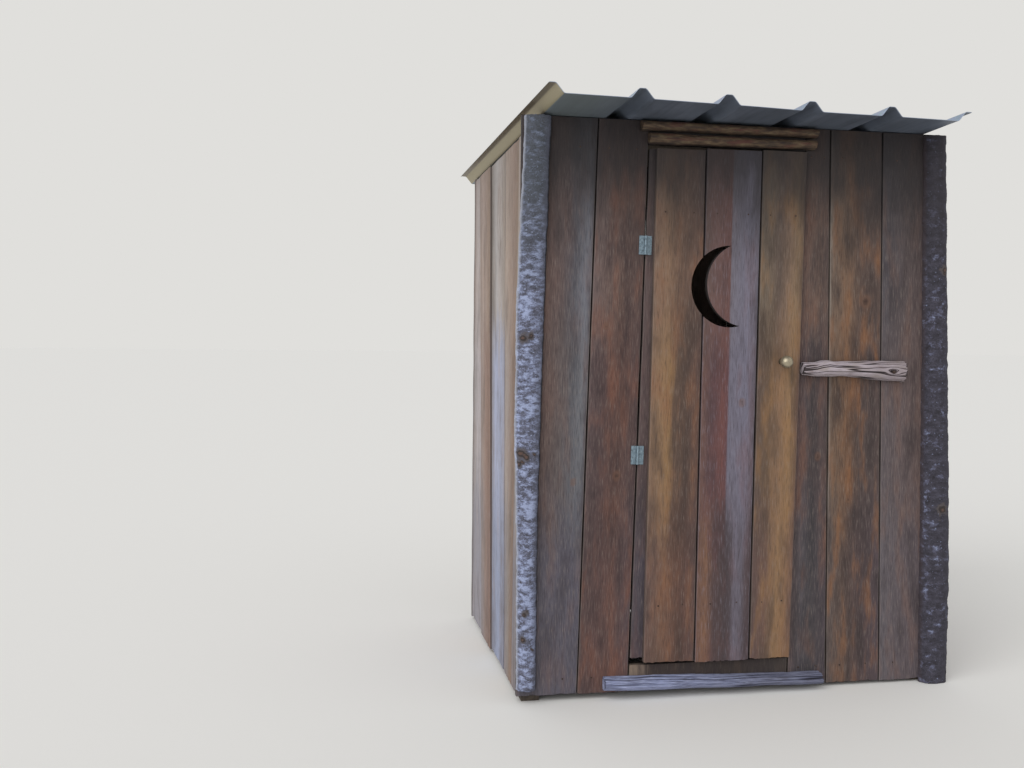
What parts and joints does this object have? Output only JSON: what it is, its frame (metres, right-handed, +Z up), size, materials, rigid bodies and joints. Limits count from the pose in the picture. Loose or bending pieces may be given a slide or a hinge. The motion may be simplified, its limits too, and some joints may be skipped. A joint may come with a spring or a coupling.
{
  "type": "outhouse",
  "caption": "Small wooden outhouse: upright boards on a post frame, outward plank door with a moon cut-out, ribbed metal roof, bark slabs at the front corners.",
  "frame": {"origin": "middle of the bounding box, on the ground", "axes": "+X to the right along the door front, +Y back through the house, +Z up"},
  "size_m": [1.7094, 1.5822, 2.0995],
  "materials": {
    "brown_boards": "bare weathered boards",
    "grey_boards": "bare boards gone grey",
    "door_boards": "bare weathered boards",
    "frame_timber": "sawn",
    "bark_slab": "bark on",
    "lintel_wood": "split poles",
    "weathered_log": "grey and deeply grooved",
    "driftwood": "silvery grooves",
    "roof_steel": "weathered zinc coating",
    "hinge_steel": "zinc coating",
    "knob_brass": "dull, tarnished"
  },
  "bodies": {
    "hut": {"skids": "frame_timber", "post_front_left": "frame_timber", "post_front_right": "frame_timber", "post_back_left": "frame_timber", "post_back_right": "frame_timber", "bottom_rail_front": "frame_timber", "bottom_rail_back": "frame_timber", "bottom_rail_left": "frame_timber", "bottom_rail_right": "frame_timber", "middle_rail_left": "frame_timber", "middle_rail_right": "frame_timber", "middle_rail_back": "frame_timber", "header_front": "frame_timber", "header_back": "frame_timber", "plate_left": "frame_timber", "plate_right": "frame_timber", "purlins": "frame_timber", "jamb_left": "frame_timber", "jamb_right": "frame_timber", "front_board_1": "brown_boards", "front_board_2": "brown_boards", "front_board_3": "brown_boards", "front_board_4": "brown_boards", "front_board_5": "brown_boards", "header_board": "brown_boards", "kick_board": "brown_boards", "left_wall_boards": "grey_boards", "right_wall_boards": "grey_boards", "back_wall_boards": "grey_boards", "corner_slab_left": "bark_slab", "corner_slab_right": "bark_slab", "lintel_pole_upper": "lintel_wood", "lintel_pole_lower": "lintel_wood", "threshold_log": "weathered_log", "roof_sheet": "roof_steel", "hinge_leaves_wall": "hinge_steel", "latch_screw": "hinge_steel"},
    "door": {"door_stile": "door_boards", "door_board_1": "door_boards", "door_board_2": "door_boards", "door_board_3": "door_boards", "door_ledges": "door_boards", "hinge_leaves_door": "hinge_steel", "door_knob": "knob_brass"},
    "latch": {"latch_bar": "driftwood"}
  },
  "joints": [
    {"name": "door_hinge", "type": "hinge", "parent": "hut", "child": "door", "pos_m": [-0.39914, -0.53057, 0], "axis": [-0.0244, 0, -0.9997], "range_deg": [0, 100]},
    {"name": "latch_turn", "type": "hinge", "parent": "hut", "child": "latch", "pos_m": [0.58152, -0.55057, 1.172], "axis": [0, 1, 0], "range_deg": [-90, 90]}
  ]
}
